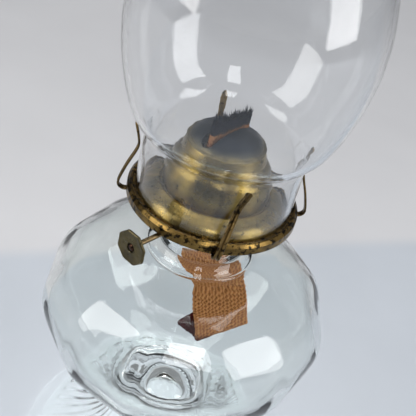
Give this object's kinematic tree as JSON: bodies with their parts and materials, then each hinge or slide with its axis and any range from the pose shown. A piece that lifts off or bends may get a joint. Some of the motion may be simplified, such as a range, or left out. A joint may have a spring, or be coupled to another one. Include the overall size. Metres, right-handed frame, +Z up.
{
  "type": "oil lamp",
  "caption": "Pedestal oil lamp: faceted clear-glass font on a flared foot, flat-wick brass burner with spring prongs and a wick knob, and a tall bulged glass chimney.",
  "frame": {"origin": "on the table, at the centre of the foot's resting ring, on the lamp's upright axis", "axes": "+Z up along the chimney; the wick's knob and shaft point along -Y; the wick's width lies along Y"},
  "size_m": [0.149, 0.149, 0.444],
  "materials": {
    "clear_glass": "clear pressed glass, slightly wavy, faintly green where thick",
    "chimney_glass": "clear blown glass",
    "aged_brass": "old satin brass with a grey-brown patina",
    "rim_brass": "old brass, browner, with dark specks",
    "heated_brass": "brass turned grey-blue by heat, with soot",
    "dark_brass": "dull brass of the hidden parts",
    "copper": "copper rivet head",
    "plaster": "plaster-like cement, matt",
    "woven_cotton": "oil-soaked woven cotton, charred at the top"
  },
  "bodies": {
    "stand": {"pedestal_foot": "clear_glass", "oil_bowl": "clear_glass", "collar": "aged_brass", "collar_cement": "plaster"},
    "screw_base": {"burner_screw_base": "aged_brass"},
    "burner": {"burner_basket": "aged_brass", "basket_floor": "aged_brass", "diffuser_plate": "dark_brass", "gallery_rim": "rim_brass", "air_cone": "aged_brass", "deflector_dome": "heated_brass", "wick_tube": "dark_brass", "vent_tube": "dark_brass", "shaft_bracket_front": "dark_brass", "shaft_bracket_rear": "dark_brass"},
    "wick_raiser": {"wick_shaft": "dark_brass", "spur_wheel_1": "dark_brass", "spur_wheel_2": "dark_brass", "spur_wheel_3": "dark_brass", "wick_knob": "aged_brass", "knob_rivet": "copper"},
    "wick_strip": {"wick": "woven_cotton"},
    "prong_1": {"prong_1": "rim_brass"},
    "prong_2": {"prong_2": "rim_brass"},
    "prong_3": {"prong_3": "rim_brass"},
    "prong_4": {"prong_4": "rim_brass"},
    "chimney": {"chimney": "chimney_glass"}
  },
  "joints": [
    {"name": "burner_rise", "type": "slide", "parent": "stand", "child": "screw_base", "axis": [0, 0, 1], "range_m": [0, 0.0037]},
    {"name": "burner_unscrew", "type": "hinge", "parent": "screw_base", "child": "burner", "pos_m": [0, 0, 0.17], "axis": [0, 0, 1], "range_deg": [0, 720]},
    {"name": "knob_turn", "type": "hinge", "parent": "burner", "child": "wick_raiser", "pos_m": [0.0041, 0, 0.183], "axis": [0, 1, 0], "range_deg": [-220, 22]},
    {"name": "wick_feed", "type": "slide", "parent": "burner", "child": "wick_strip", "axis": [0, 0, 1], "range_m": [-0.01, 0.001]},
    {"name": "prong_1_flex", "type": "hinge", "parent": "burner", "child": "prong_1", "pos_m": [0.02899, 0.02899, 0.1846], "axis": [-0.7071, 0.7071, 0], "range_deg": [0, 6], "stiffness_Nm_per_rad": 0.6},
    {"name": "prong_2_flex", "type": "hinge", "parent": "burner", "child": "prong_2", "pos_m": [-0.02899, 0.02899, 0.1846], "axis": [-0.7071, -0.7071, 0], "range_deg": [0, 6], "stiffness_Nm_per_rad": 0.6},
    {"name": "prong_3_flex", "type": "hinge", "parent": "burner", "child": "prong_3", "pos_m": [-0.02899, -0.02899, 0.1846], "axis": [0.7071, -0.7071, 0], "range_deg": [0, 6], "stiffness_Nm_per_rad": 0.6},
    {"name": "prong_4_flex", "type": "hinge", "parent": "burner", "child": "prong_4", "pos_m": [0.02899, -0.02899, 0.1846], "axis": [0.7071, 0.7071, 0], "range_deg": [0, 6], "stiffness_Nm_per_rad": 0.6},
    {"name": "chimney_lift", "type": "slide", "parent": "burner", "child": "chimney", "axis": [0, 0, 1], "range_m": [0, 0.06]}
  ],
  "couplings": [
    {"joint": "burner_rise", "follows": "burner_unscrew", "m_per_rad": 0.00028648},
    {"joint": "wick_feed", "follows": "knob_turn", "m_per_rad": 0.00255}
  ]
}
